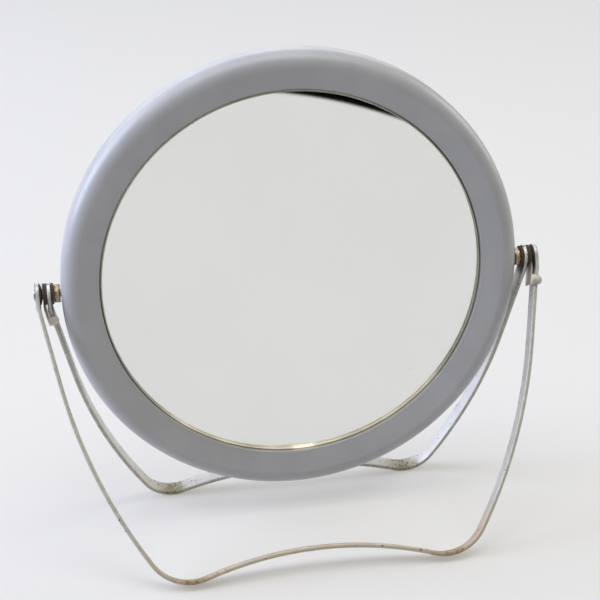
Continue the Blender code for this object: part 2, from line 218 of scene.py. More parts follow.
def rounded_tube(inner, outer, low, high, rounding, count=3):
    """The closed section of a tube with rounded corners, down the outer side and up the inner one."""
    points = arc((outer - rounding, high - rounding), rounding, pi / 2, 0.0, count)
    points += arc((outer - rounding, low + rounding), rounding, 0.0, -pi / 2, count)
    points += arc((inner + rounding, low + rounding), rounding, -pi / 2, -pi, count)
    points += arc((inner + rounding, high - rounding), rounding, pi, pi / 2, count)
    return points


def combine(obj, other, operation):
    """Applies a boolean of obj with other, and removes other."""
    modifier = obj.modifiers.new("combine", "BOOLEAN")
    modifier.operation = operation
    modifier.solver = "EXACT"
    modifier.object = other
    apply_modifiers(obj)
    bpy.data.objects.remove(other, do_unlink=True)


def cut(obj, cutter):
    combine(obj, cutter, "DIFFERENCE")


def apply_modifiers(obj):
    bpy.context.view_layer.update()
    graph = bpy.context.evaluated_depsgraph_get()
    mesh = bpy.data.meshes.new_from_object(obj.evaluated_get(graph))
    old = obj.data
    obj.modifiers.clear()
    obj.data = mesh
    mesh.name = obj.name
    bpy.data.meshes.remove(old)


def cylinder(name, radius, start, end, matrix):
    """A plain cylinder along local Z from start to end, used as a cutter."""
    form = bmesh.new()
    bmesh.ops.create_cone(
        form, cap_ends=True, segments=SMALL_STEPS, radius1=radius, radius2=radius, depth=end - start
    )
    bmesh.ops.translate(form, verts=form.verts, vec=(0, 0, (start + end) / 2))
    mesh = bpy.data.meshes.new(name)
    form.to_mesh(mesh)
    form.free()
    obj = bpy.data.objects.new(name, mesh)
    bpy.context.scene.collection.objects.link(obj)
    obj.matrix_world = matrix
    return obj


def extruded(name, outline, half_thickness, matrix, material):
    """A closed outline in local XY with a thickness along local Z."""
    form = bmesh.new()
    low = [form.verts.new((x, y, -half_thickness)) for x, y in outline]
    high = [form.verts.new((x, y, half_thickness)) for x, y in outline]
    form.faces.new(low)
    form.faces.new(list(reversed(high)))
    for i in range(len(outline)):
        j = (i + 1) % len(outline)
        form.faces.new((low[i], high[i], high[j], low[j]))
    return finished_object(name, form, matrix, material)


# Materials --------------------------------------------------------------------


class Graph:
    """A material's node tree, with short names for what the materials below are made of."""

    def __init__(self, name):
        self.material = bpy.data.materials.new(name)
        self.material.use_nodes = True
        self.tree = self.material.node_tree
        self.shader = self.tree.nodes["Principled BSDF"]

    def put(self, socket, value):
        if isinstance(value, bpy.types.NodeSocket):
            self.tree.links.new(value, socket)
        elif isinstance(value, tuple) and len(value) == 3 and socket.type == "RGBA":
            socket.default_value = (*value, 1.0)
        else:
            socket.default_value = value

    def node(self, kind, output=0, settings=None, **inputs):
        made = self.tree.nodes.new(kind)
        for key, value in (settings or {}).items():
            setattr(made, key, value)
        for key, value in inputs.items():
            self.put(made.inputs[key.replace("_", " ")], value)
        return made.outputs[output]

    def set(self, **inputs):
        for key, value in inputs.items():
            self.put(self.shader.inputs[key.replace("_", " ")], value)

    def object_point(self):
        return self.node("ShaderNodeTexCoord", "Object")

    def attribute(self, name, output="Fac"):
        return self.node("ShaderNodeAttribute", output, {"attribute_name": name})

    def stretched(self, point, scale):
        made = self.tree.nodes.new("ShaderNodeMapping")
        self.put(made.inputs["Vector"], point)
        made.inputs["Scale"].default_value = scale
        return made.outputs[0]

    def noise(self, point, scale, detail=4.0, rough=0.55, distortion=0.0):
        return self.node(
            "ShaderNodeTexNoise", "Fac", Vector=point, Scale=scale, Detail=detail, Roughness=rough,
            Distortion=distortion,
        )

    def cells(self, point, scale):
        return self.node("ShaderNodeTexVoronoi", "Distance", Vector=point, Scale=scale)

    def ramp(self, value, low, high, to_low=0.0, to_high=1.0):
        """value, eased from one range to another and held at the ends."""
        made = self.tree.nodes.new("ShaderNodeMapRange")
        made.interpolation_type = "SMOOTHSTEP"
        self.put(made.inputs["Value"], value)
        for socket, number in zip(("From Min", "From Max", "To Min", "To Max"), (low, high, to_low, to_high)):
            made.inputs[socket].default_value = number
        return made.outputs[0]

    def maths(self, operation, first, second=0.0):
        made = self.tree.nodes.new("ShaderNodeMath")
        made.operation = operation
        self.put(made.inputs[0], first)
        self.put(made.inputs[1], second)
        return made.outputs[0]

    def mix(self, share, first, second):
        made = self.tree.nodes.new("ShaderNodeMix")
        made.data_type = "RGBA"
        self.put(made.inputs["Factor"], share)
        self.put(made.inputs[6], first)
        self.put(made.inputs[7], second)
        return made.outputs[2]

    def coordinate(self, point, index):
        split = self.tree.nodes.new("ShaderNodeSeparateXYZ")
        self.put(split.inputs[0], point)
        return split.outputs[index]

    def radius_from_axis(self, point):
        sides = [self.coordinate(point, i) for i in (0, 1)]
        return self.maths("SQRT", self.maths("ADD", *[self.maths("MULTIPLY", d, d) for d in sides]))

    def bump(self, height, strength, distance, under=None):
        inputs = {"Height": height, "Strength": strength, "Distance": distance}
        made = self.tree.nodes.new("ShaderNodeBump")
        for key, value in inputs.items():
            self.put(made.inputs[key], value)
        if under is not None:
            self.put(made.inputs["Normal"], under)
        return made.outputs[0]


def casing_plastic():
    """Grey moulded plastic, faintly lavender: mottling, grime in the corner by the glass, light rubs."""
    g = Graph("fine_casing_plastic")
    point = g.object_point()
    radius = g.radius_from_axis(point)
    mottle = g.noise(point, 55.0, 3.0, 0.5)
    fine = g.noise(point, 900.0, 2.0, 0.5)
    scuffs = g.noise(g.stretched(point, (260.0, 1400.0, 900.0)), 1.0, 3.0, 0.6, 0.6)
    colour = g.mix(g.ramp(mottle, 0.35, 0.65), (0.398, 0.401, 0.416), (0.429, 0.432, 0.446))
    colour = g.mix(g.ramp(scuffs, 0.72, 0.80, 0.0, 0.25), colour, (0.72, 0.72, 0.76))
    corner = g.ramp(radius, POCKET_RADIUS + 0.2 * MM, POCKET_RADIUS + 2.2 * MM, 0.55, 0.0)
    patchy = g.maths("MULTIPLY", corner, g.ramp(mottle, 0.3, 0.7, 0.5, 1.0))
    colour = g.mix(patchy, colour, (0.40, 0.39, 0.38))
    specks = g.ramp(g.cells(point, 190.0), 0.035, 0.06, 1.0, 0.0)
    chosen = g.ramp(g.noise(point, 90.0, 1.0), 0.60, 0.64)
    colour = g.mix(g.maths("MULTIPLY", g.maths("MULTIPLY", specks, chosen), 0.5), colour, (0.20, 0.20, 0.22))
    g.set(Base_Color=colour, Roughness=g.ramp(g.noise(point, 130.0, 4.0), 0.3, 0.7, 0.30, 0.42))
    g.set(IOR=1.49)
    under = g.bump(mottle, 0.25, 0.4 * MM)
    g.set(Normal=g.bump(g.maths("ADD", fine, g.maths("MULTIPLY", scuffs, 0.5)), 0.10, 0.05 * MM, under))
    return g.material


def clear_glass():
    """Clear glass with the faintest green and a few hairline marks."""
    g = Graph("fine_clear_glass")
    point = g.object_point()
    hair = g.noise(g.stretched(point, (30.0, 900.0, 400.0)), 1.0, 2.0, 0.5, 0.4)
    g.set(Base_Color=(0.975, 0.985, 0.97), Roughness=0.0, IOR=1.52, Transmission_Weight=1.0)
    g.set(Normal=g.bump(g.ramp(hair, 0.74, 0.78), 0.02, 0.01 * MM))
    return g.material


def ground_edge(word, painted_glow):
    """The ground rim of a glass: matt, pale and a little dirty, and paler towards its local foot as painted
    light. The front one also glows with painted light, a little all round and more towards its foot, with a
    painted glint there.
    """
    g = Graph(f"fine_{word}_ground_edge")
    point = g.object_point()
    grain = g.noise(point, 1600.0, 3.0, 0.7)
    patches = g.noise(point, 60.0, 3.0, 0.6)
    colour = g.mix(g.ramp(patches, 0.35, 0.65), (0.62, 0.59, 0.46), (0.80, 0.77, 0.66))
    # Painted light: paler towards local -Y, the foot of the front glass and the top of the rear one.
    low = g.ramp(g.coordinate(point, 1), -62 * MM, -30 * MM, 1.0, 0.0)
    colour = g.mix(low, colour, (0.86, 0.79, 0.64))
    chips = g.ramp(grain, 0.52, 0.72, 0.0, 0.5)
    colour = g.mix(chips, colour, (0.25, 0.20, 0.12))
    g.set(Base_Color=colour, Roughness=g.ramp(grain, 0.3, 0.7, 0.25, 0.5), IOR=1.5)
    g.set(Normal=g.bump(grain, 0.4, 0.08 * MM))
    if not painted_glow:
        return g.material
    # Painted light: the front edge glows a little all round and more towards its foot, with a painted glint
    # near x = GLINT_PLACE.
    across = g.maths("ABSOLUTE", g.maths("SUBTRACT", g.coordinate(point, 0), GLINT_PLACE))
    glint = g.maths("MULTIPLY", g.ramp(across, 2.5 * MM, 6.0 * MM, 1.0, 0.0), g.ramp(grain, 0.35, 0.55))
    glow = g.maths("ADD", g.maths("MULTIPLY", glint, 0.8), g.ramp(patches, 0.3, 0.7, 0.12, 0.42))
    glow = g.maths("MULTIPLY", low, glow)
    g.set(Emission_Color=colour, Emission_Strength=g.maths("ADD", glow, EDGE_GLOW))
    return g.material


def silvering():
    """The silver behind the glass, with small dark spots where it has gone, most of them near the rim."""
    g = Graph("fine_silvering")
    point = g.object_point()
    radius = g.radius_from_axis(point)
    near_rim = g.ramp(radius, GLASS_RADIUS - 9 * MM, GLASS_RADIUS - 0.5 * MM)
    spots = g.ramp(g.cells(point, 420.0), 0.05, 0.09, 1.0, 0.0)
    chosen = g.maths("ADD", g.noise(point, 160.0, 2.0), g.maths("MULTIPLY", near_rim, 0.10))
    lost = g.maths("MULTIPLY", spots, g.ramp(chosen, 0.66, 0.70))
    colour = g.mix(g.ramp(g.noise(point, 12.0, 2.0), 0.3, 0.7), (0.870, 0.866, 0.850), (0.890, 0.886, 0.872))
    colour = g.mix(lost, colour, (0.10, 0.09, 0.05))
    g.set(Base_Color=colour, Metallic=1.0, Roughness=g.ramp(lost, 0.2, 0.9, 0.0, 0.45))
    return g.material


def worn_nickel():
    """Plated strip: drawn lines, dull patches, yellowed edges, tan tarnish, fine rust, pits, and a grimy
    near-black on the faces round the pivot that is partly painted shade between the stacked parts.
    """
    g = Graph("fine_worn_nickel")
    strip = g.attribute("strip_map", "Vector")
    edge = g.attribute("edge_wear")
    foot = g.attribute("foot_wear")
    bar = g.attribute("bar_tan")
    dirt_and_shade = g.attribute("pivot_dirt_and_shade")
    lines = g.noise(g.stretched(strip, (45.0, 5200.0, 2600.0)), 1.0, 3.0, 0.6)
    broad = g.noise(strip, 70.0, 4.0, 0.6)
    blotch = g.noise(strip, 320.0, 5.0, 0.7)
    fine = g.noise(strip, 1500.0, 3.0, 0.6)
    colour = g.mix(g.ramp(lines, 0.3, 0.7), (0.60, 0.59, 0.565), (0.70, 0.69, 0.665))
    dull = g.ramp(broad, 0.42, 0.68, 0.0, 0.7)
    colour = g.mix(dull, colour, (0.55, 0.54, 0.52))
    tan_share = g.maths("MULTIPLY", bar, g.ramp(broad, 0.3, 0.6, 0.45, 0.95))
    colour = g.mix(tan_share, colour, (0.60, 0.46, 0.34))
    worn = g.maths("MULTIPLY", edge, g.ramp(blotch, 0.30, 0.60, 0.30, 0.95))
    colour = g.mix(worn, colour, (0.43, 0.41, 0.31))
    speckle = g.noise(strip, 1100.0, 5.0, 0.75)
    rust_place = g.maths("ADD", g.maths("MULTIPLY", speckle, 0.6), g.maths("MULTIPLY", blotch, 0.4))
    olive = g.ramp(g.maths("ADD", rust_place, g.maths("MULTIPLY", foot, 0.35)), 0.66, 0.86, 0.0, 0.85)
    colour = g.mix(olive, colour, (0.34, 0.325, 0.185))
    scorch = g.maths("MULTIPLY", g.maths("MULTIPLY", foot, bar), g.ramp(blotch, 0.40, 0.60, 0.15, 0.85))
    colour = g.mix(scorch, colour, (0.40, 0.25, 0.13))
    brown = g.ramp(g.maths("ADD", rust_place, g.maths("MULTIPLY", foot, 0.20)), 0.70, 0.75, 0.0, 0.85)
    colour = g.mix(brown, colour, (0.22, 0.16, 0.10))
    pits = g.ramp(g.cells(strip, 620.0), 0.16, 0.25, 1.0, 0.0)
    pit_place = g.maths("ADD", g.noise(strip, 260.0, 2.0), g.maths("MULTIPLY", foot, 0.20))
    pits = g.maths("MULTIPLY", pits, g.ramp(pit_place, 0.54, 0.59))
    colour = g.mix(pits, colour, (0.07, 0.05, 0.03))
    # Near-black on the faces round the pivot: oily grime, and painted shade in the gaps between the stacked
    # parts.
    grime_and_shade_place = g.maths("ADD", dirt_and_shade, g.maths("MULTIPLY", g.maths("SUBTRACT", blotch, 0.5), 0.8))
    grime_and_shade = g.ramp(grime_and_shade_place, 0.35, 0.75, 0.0, 0.95)
    colour = g.mix(grime_and_shade, colour, (0.045, 0.035, 0.022))
    matt = g.maths("MAXIMUM", g.maths("MAXIMUM", g.maths("MAXIMUM", olive, brown), pits), grime_and_shade)
    metal = g.ramp(g.maths("MAXIMUM", matt, g.maths("MULTIPLY", worn, 0.8)), 0.1, 0.9, 0.52, 0.10)
    rough = g.maths("ADD", g.ramp(lines, 0.2, 0.8, 0.44, 0.58), g.maths("MULTIPLY", matt, 0.30))
    rough = g.maths("ADD", rough, g.maths("MULTIPLY", dull, 0.10))
    g.set(Base_Color=colour, Metallic=metal, Roughness=rough)
    under = g.bump(lines, 0.25, 0.03 * MM)
    under = g.bump(g.maths("MULTIPLY", pits, -1.0), 0.6, 0.15 * MM, under)
    g.set(Normal=g.bump(g.maths("ADD", broad, g.maths("MULTIPLY", fine, 0.15)), 0.30, 0.25 * MM, under))
    return g.material


def turned_brass():
    """Old turned brass: fine tool rings, brown tarnish and dark grime towards the ends, where the darkening
    is also painted shade next to the casing and the washers.
    """
    g = Graph("fine_turned_brass")
    point = g.object_point()
    rings = g.noise(g.stretched(point, (60.0, 60.0, 5200.0)), 1.0, 2.0, 0.5)
    tarnish = g.noise(point, 420.0, 5.0, 0.65)
    start, end = span_from_pivot("left_barrel_spacer")
    height = g.coordinate(point, 2)
    inner, outer = g.ramp(height, start, start + 1.0 * MM, 1.0, 0.0), g.ramp(height, end - 1.2 * MM, end)
    ends = g.maths("MAXIMUM", inner, outer)
    colour = g.mix(g.ramp(rings, 0.3, 0.7), (0.48, 0.38, 0.25), (0.60, 0.50, 0.34))
    colour = g.mix(g.ramp(tarnish, 0.45, 0.66, 0.0, 0.8), colour, (0.30, 0.23, 0.13))
    # Darker at the ends: grime, and painted shade where the spacer meets the casing and the washers.
    dirt_and_shade = g.maths("ADD", g.noise(point, 900.0, 3.0), g.maths("MULTIPLY", ends, 0.35))
    colour = g.mix(g.ramp(dirt_and_shade, 0.60, 0.75, 0.0, 0.85), colour, (0.09, 0.065, 0.04))
    g.set(Base_Color=colour, Metallic=0.8, Roughness=g.ramp(tarnish, 0.3, 0.7, 0.42, 0.62))
    g.set(Normal=g.bump(g.maths("ADD", rings, tarnish), 0.35, 0.06 * MM))
    return g.material


def grimy_steel():
    """Stamped plates and washers: yellowed steel, an oily black round the pin that is partly painted shade
    between the stacked parts, bright rubbed rims.
    """
    g = Graph("fine_grimy_steel")
    point = g.object_point()
    dirt_and_shade = g.attribute("pivot_dirt_and_shade")
    blotch = g.noise(point, 380.0, 5.0, 0.65)
    fine = g.noise(point, 1800.0, 3.0, 0.6)
    colour = g.mix(g.ramp(blotch, 0.3, 0.7), (0.53, 0.485, 0.43), (0.66, 0.61, 0.55))
    colour = g.mix(g.ramp(fine, 0.58, 0.75, 0.0, 0.5), colour, (0.26, 0.20, 0.12))
    # Near-black round the pin: oily dirt, and painted shade in the gaps between the stacked parts.
    place = g.maths("ADD", dirt_and_shade, g.maths("MULTIPLY", g.maths("SUBTRACT", blotch, 0.5), 0.5))
    black = g.ramp(place, 0.22, 0.60, 0.0, 0.95)
    colour = g.mix(black, colour, (0.050, 0.034, 0.020))
    g.set(Base_Color=colour, Metallic=g.ramp(black, 0.0, 0.8, 0.85, 0.0), Specular_IOR_Level=0.25)
    g.set(Roughness=g.maths("ADD", g.ramp(blotch, 0.3, 0.7, 0.38, 0.55), g.maths("MULTIPLY", black, 0.3)))
    g.set(Normal=g.bump(g.maths("ADD", blotch, g.maths("MULTIPLY", fine, 0.4)), 0.35, 0.10 * MM))
    return g.material


def pin_metal():
    """The pins: dull plated steel, worn on the head."""
    g = Graph("fine_pin_metal")
    point = g.object_point()
    blotch = g.noise(point, 700.0, 4.0, 0.65)
    colour = g.mix(g.ramp(blotch, 0.35, 0.65), (0.50, 0.48, 0.43), (0.70, 0.69, 0.65))
    g.set(Base_Color=colour, Metallic=1.0, Roughness=g.ramp(blotch, 0.3, 0.7, 0.28, 0.48))
    g.set(Normal=g.bump(blotch, 0.3, 0.08 * MM))
    return g.material


def backing_card():
    g = Graph("fine_card")
    point = g.object_point()
    fibres = g.noise(g.stretched(point, (900.0, 250.0, 500.0)), 1.0, 5.0, 0.7)
    g.set(Base_Color=g.mix(fibres, (0.24, 0.19, 0.13), (0.44, 0.36, 0.26)), Roughness=0.9)
    g.set(Normal=g.bump(fibres, 0.5, 0.1 * MM))
    return g.material


def black_rubber():
    g = Graph("fine_rubber")
    grain = g.noise(g.object_point(), 1400.0, 4.0, 0.6)
    g.set(Base_Color=g.mix(grain, (0.030, 0.030, 0.030), (0.065, 0.065, 0.068)))
    g.set(Roughness=g.ramp(grain, 0.3, 0.7, 0.65, 0.85), Normal=g.bump(grain, 0.4, 0.08 * MM))
    return g.material


# The legs ---------------------------------------------------------------------


def bend(start, radius, angle_from, angle_to, count):
    """Points along a bend. The path's direction at angle a is (-sin a, cos a): inwards and down the leg."""
    sign = 1 if angle_to > angle_from else -1
    points = []
    for i in range(1, count + 1):
        a = angle_from + (angle_to - angle_from) * i / count
        x = start[0] + sign * radius * (cos(a) - cos(angle_from))
        s = start[1] + sign * radius * (sin(a) - sin(angle_from))
        points.append((x, s))
    return points


def straight(start, end, count):
    steps = [i / count for i in range(1, count + 1)]
    return [(start[0] + (end[0] - start[0]) * t, start[1] + (end[1] - start[1]) * t) for t in steps]


def leg_length(leg):
    """From the pivot axis to the strip's centre line at the foot, so that the foot touches the floor."""
    return (PIVOT_HEIGHT - STRIP_WIDTH / 2 * sin(leg["lean"])) / cos(leg["lean"]) - STRIP_THICKNESS / 2


def leg_half_path(leg):
    """One side's centre line from the ear's top to the crossbar's middle, as (x, down the leg) points."""
    splay = leg["splay"]
    foot = leg["foot_splay"]
    radius = leg["foot_radius"]
    ear = [-EAR_RADIUS * cos(t) for t in (radians(d) for d in range(0, 91, 10))]
    path = [(leg["ear_x"], s) for s in ear]
    path += straight(path[-1], (leg["ear_x"], leg["ear_end"]), 6)
    path += bend(path[-1], EAR_BEND_RADIUS, 0.0, splay, 4)
    run = leg["straight_end"] - path[-1][1]
    path += straight(path[-1], (path[-1][0] - run * tan(splay), leg["straight_end"]), 8)
    drop = leg_length(leg) - path[-1][1] - radius * (1 - sin(foot))
    path += bend(path[-1], drop / (sin(foot) - sin(splay)), splay, foot, 40)
    foot_x = path[-1][0] - radius * cos(foot)
    rise = 2 * atan(leg["arch"] / foot_x)
    path += bend(path[-1], radius, foot, pi / 2 + rise, 28)
    path += bend(path[-1], foot_x / sin(rise) - radius, pi / 2 + rise, pi / 2, 24)
    return path


def half_width(s):
    """Half the strip's width at a distance down the leg: a round ear, a taper and the plain strip."""
    if s < EAR_TAPER_END:
        if s < 0.75 * MM:
            return max(EAR_RADIUS**2 - s**2, (0.5 * MM) ** 2) ** 0.5
        share = (s - 0.75 * MM) / (EAR_TAPER_END - 0.75 * MM)
        return EAR_RADIUS * (1 - share) + STRIP_WIDTH / 2 * share
    return STRIP_WIDTH / 2


def strip_section(half):
    """The strip's section as (across, through) points: a rectangle with rounded corners."""
    r = min(STRIP_ROUNDING, half * 0.9)
    corners = ((1, 1, 0.0), (-1, 1, pi / 2), (-1, -1, pi), (1, -1, 3 * pi / 2))
    points = []
    for side, face, start in corners:
        centre = (side * (half - r), face * (STRIP_THICKNESS / 2 - r))
        points += arc(centre, r, start, start + pi / 2, STRIP_CORNER_STEPS)
    return points


def leg_place(leg, x, down, across):
    """A point of the leg relative to the pivot: x, distance down the leg, distance across to the front."""
    lean = leg["lean"]
    y = leg["side"] * down * sin(lean) - across * cos(lean)
    z = -down * cos(lean) - leg["side"] * across * sin(lean)
    return Vector((x, y, z))


def build_leg(name, leg, material):
    """The strip swept along its path, with the ear's hole cut and the maps that its material wears by."""
    half = leg_half_path(leg)
    path = np.array(half + [(-x, s) for x, s in reversed(half[:-1])])
    steps = np.diff(path, axis=0)
    lengths = np.concatenate([[0.0], np.cumsum(np.hypot(steps[:, 0], steps[:, 1]))])
    tangents = np.gradient(path, axis=0)
    tangents /= np.linalg.norm(tangents, axis=1)[:, None]
    form = bmesh.new()
    rings = []
    for (x, s), (tx, ts) in zip(path, tangents):
        section = strip_section(half_width(s))
        places = [leg_place(leg, x + ts * through, s - tx * through, across) for across, through in section]
        rings.append([form.verts.new(spot) for spot in places])
    for near, far in zip(rings, rings[1:]):
        for i in range(len(near)):
            j = (i + 1) % len(near)
            form.faces.new((near[i], near[j], far[j], far[i]))
    form.faces.new(list(reversed(rings[0])))
    form.faces.new(rings[-1])
    obj = finished_object(name, form, Matrix.Translation(PIVOT), material, 50.0)
    across_x = Matrix.Translation(PIVOT) @ Matrix.Rotation(pi / 2, 4, "Y")
    cut(obj, cylinder(name + "_drill", HOLE_RADIUS, -DRILL_REACH, DRILL_REACH, across_x))
    obj.data.shade_smooth()
    obj.data.set_sharp_from_angle(angle=radians(50.0))
    map_strip(obj, leg, path, lengths, tangents)
    return obj


def store(obj, name, values):
    """Keeps a number for each point, which the material reads by its name."""
    kept = obj.data.attributes.new(name, "FLOAT", "POINT")
    kept.data.foreach_set("value", values.astype(np.float32))


def rise(values, start, width):
    """0 up to start, then up to 1 over width."""
    return np.clip((values - start) / width, 0, 1)


def map_strip(obj, leg, path, lengths, tangents):
    """Stores where each point is along, across and through the strip, and how worn it is."""
    points = np.array([v.co for v in obj.data.vertices])
    lean, side = leg["lean"], leg["side"]
    down = side * points[:, 1] * sin(lean) - points[:, 2] * cos(lean)
    across = -points[:, 1] * cos(lean) - side * points[:, 2] * sin(lean)
    flat = np.stack([points[:, 0], down], 1)
    nearest = np.argmin(((flat[:, None, :] - path[None, :, :]) ** 2).sum(2), axis=1)
    offset = flat - path[nearest]
    along = lengths[nearest] + (offset * tangents[nearest]).sum(1)
    normal = np.stack([tangents[nearest][:, 1], -tangents[nearest][:, 0]], 1)
    through = (offset * normal).sum(1)
    strip = obj.data.attributes.new("strip_map", "FLOAT_VECTOR", "POINT")
    strip.data.foreach_set("vector", np.stack([along, across, through], 1).astype(np.float32).ravel())

    half = np.where(down < EAR_TAPER_END, EAR_RADIUS, STRIP_WIDTH / 2)
    store(obj, "edge_wear", rise(np.abs(across), half - EDGE_WEAR_REACH, EDGE_WEAR_FADE))
    foot = lengths[np.argmax(path[: len(path) // 2, 1])]
    from_foot = np.minimum(np.abs(along - foot), np.abs(lengths[-1] - along - foot))
    store(obj, "foot_wear", np.exp(-((from_foot / FOOT_WEAR_REACH) ** 2)))
    store(obj, "bar_tan", rise(down, leg_length(leg) - BAR_TAN_REACH, BAR_TAN_FADE) * leg["bar_tan"])
    # How dark the faces round the pivot get: dirt, and painted shade where they lie in the stack.
    radius = np.hypot(points[:, 1], points[:, 2])
    on_face = rise(np.abs(through), STRIP_THICKNESS / 2 - FACE_DEPTH, FACE_DEPTH / 2)
    store(obj, "pivot_dirt_and_shade", np.clip(1.3 - radius / EAR_DIRT_AND_SHADE_REACH, 0, 1) * on_face)


# The pivots -------------------------------------------------------------------


def map_dirt_and_shade(obj, reach):
    """Stores how dark each point gets from dirt and painted shade: most at the pin, and none from reach
    outwards.
    """
    matrix = np.array(obj.matrix_world)
    points = np.array([v.co for v in obj.data.vertices])
    world = points @ matrix[:3, :3].T + matrix[:3, 3]
    radius = np.hypot(world[:, 1] - PIVOT.y, world[:, 2] - PIVOT.z)
    store(obj, "pivot_dirt_and_shade", np.clip(1.25 - radius / reach, 0, 1))


def offset_path(path, distance):
    """The path moved sideways by distance, square to its own direction at each point."""
    moved = []
    for i, (x, s) in enumerate(path):
        before = Vector(path[max(i - 1, 0)])
        after = Vector(path[min(i + 1, len(path) - 1)])
        along = (after - before).normalized()
        moved.append((x + along.y * distance, s - along.x * distance))
    return moved


def plate_path(end):
    """The plate's centre line seen along its width: flat on the pivot, then bent inwards down to end."""
    start = span_from_pivot("left_leg_washer")[1] + GAP
    path = [(start + PLATE_THICKNESS / 2, -PLATE_RADIUS - GAP)]
    path.append((path[0][0], TONGUE_BEND_START))
    path += bend(path[-1], TONGUE_BEND_RADIUS, 0.0, TONGUE_SPLAY, 6)
    run = end - path[-1][1]
    return path + [(path[-1][0] - run * tan(TONGUE_SPLAY), end)]


def plate_outline():
    """The stop plate's face: a disc around the pivot and a tongue down the leg."""
    tongue = STRIP_WIDTH / 2
    top = arc((0.0, 0.0), PLATE_RADIUS, radians(-125.0), radians(125.0), 40)
    far = arc((-TAB_END + TAB_CORNER, tongue - TAB_CORNER), TAB_CORNER, pi / 2, pi, 6)
    near = arc((-TAB_END + TAB_CORNER, -tongue + TAB_CORNER), TAB_CORNER, pi, 3 * pi / 2, 6)
    return top + far + near


def tab_outline():
    """The tab seen down the tongue: it leaves the tongue forwards and is bent over towards +X."""
    thickness = PLATE_THICKNESS - 2 * TAB_INSET
    inner_face = STRIP_WIDTH / 2 + GAP
    outer_face = inner_face + thickness
    left = TAB_INSET - PLATE_THICKNESS / 2
    centre = (left + TAB_BEND_RADIUS, outer_face - TAB_BEND_RADIUS)
    inner_bend = arc(centre, TAB_BEND_RADIUS - thickness, pi / 2, pi, 8)
    outer_bend = arc(centre, TAB_BEND_RADIUS, pi, pi / 2, 10)
    start = [(left + thickness, 0.0), (left, 0.0)]
    end = [(TAB_REACH, outer_face), (TAB_REACH, inner_face)]
    return start + outer_bend + end + inner_bend


def tab_face():
    """The tab seen from the front: its end is a full round."""
    half = (TAB_END - TAB_START) / 2
    end = arc((TAB_REACH - half, 0.0), half, -pi / 2, pi / 2, 20)
    return [(-PLATE_THICKNESS, half), (-PLATE_THICKNESS, -half)] + end


def leg_matrix(leg):
    """Local Y points up the leg from the pivot axis, and local Z across the strip towards the front."""
    return Matrix.Translation(PIVOT) @ Matrix.Rotation(pi / 2 + leg["side"] * leg["lean"], 4, "X")


def soften(obj, width):
    modifier = obj.modifiers.new("soften", "BEVEL")
    modifier.width = width
    modifier.segments = 2
    modifier.limit_method = "ANGLE"
    modifier.angle_limit = radians(50.0)
    modifier.harden_normals = False
    apply_modifiers(obj)
    obj.data.shade_smooth()
    obj.data.set_sharp_from_angle(angle=radians(50.0))


def build_stop_plate(name, side, leg, material):
    """A stamped plate with a bent tongue and a round-ended tab, as in the frame's node."""
    frame_place = leg_matrix(leg)
    path = plate_path(TAB_END + GAP)
    sides = offset_path(path, PLATE_THICKNESS / 2) + offset_path(path, -PLATE_THICKNESS / 2)[::-1]
    outline = [(side * x, -s) for x, s in sides]
    obj = extruded("fine_" + name, outline, PLATE_RADIUS + GAP, frame_place, material)
    to_yz = Matrix(((0, 0, 1, 0), (1, 0, 0, 0), (0, 1, 0, 0), (0, 0, 0, 1)))
    to_xz = Matrix(((1, 0, 0, 0), (0, 0, -1, 0), (0, 1, 0, 0), (0, 0, 0, 1)))
    face_place = frame_place @ Matrix.Translation((side * path[0][0], 0, 0)) @ to_yz
    combine(obj, extruded(name + "_face", plate_outline(), STRIP_WIDTH, face_place, material), "INTERSECT")
    tab_x, tab_down = plate_path((TAB_START + TAB_END) / 2)[-1]
    turn = Matrix.Rotation(-side * TONGUE_SPLAY, 4, "Z")
    tab_place = frame_place @ Matrix.Translation((side * tab_x, -tab_down, 0)) @ turn
    half = (TAB_END - TAB_START) / 2
    tab = extruded(name + "_tab", tab_outline(), half + 0.1 * MM, tab_place @ to_xz, material)
    combine(tab, extruded(name + "_end", tab_face(), STRIP_WIDTH, tab_place, material), "INTERSECT")
    combine(obj, tab, "UNION")
    across_x = Matrix.Translation(PIVOT) @ Matrix.Rotation(pi / 2, 4, "Y")
    cut(obj, cylinder(name + "_drill", HOLE_RADIUS, -DRILL_REACH, DRILL_REACH, across_x))
    soften(obj, 0.08 * MM)
    map_dirt_and_shade(obj, 6.5 * MM)
    return obj


def build_washer(name, side, material, dished=False):
    """A washer in the place of the frame's node, thicker on both faces so that no light shows past it."""
    start, end = span_from_pivot(name)
    start, end = start - WASHER_GROWTH, end + WASHER_GROWTH
    outwards = Matrix.Translation(PIVOT) @ Matrix.Rotation(side * pi / 2, 4, "Y")
    outer = size_along(name, 2) / 2
    if dished:
        lift = (end - start) - SPRING_WASHER_THICKNESS
        profile = rounded_tube(HOLE_RADIUS, outer, start, start + SPRING_WASHER_THICKNESS, 0.08 * MM)
        profile = [(r, h + lift * (r - HOLE_RADIUS) / (outer - HOLE_RADIUS)) for r, h in profile]
    else:
        profile = rounded_tube(HOLE_RADIUS, outer, start, end, 0.09 * MM)
    obj = turned("fine_" + name, profile, outwards, material, SMALL_STEPS, ring=True)
    map_dirt_and_shade(obj, outer * 1.8)
    return obj


def build_barrel(name, side, material):
    """The spacer: a turned tube with rounded ends."""
    start, end = span_from_pivot(name)
    outer = size_along(name, 2) / 2
    outwards = Matrix.Translation(PIVOT) @ Matrix.Rotation(side * pi / 2, 4, "Y")
    profile = rounded_tube(HOLE_RADIUS, outer, start, end, 0.22 * MM, 4)
    return turned("fine_" + name, profile, outwards, material, SMALL_STEPS, ring=True)


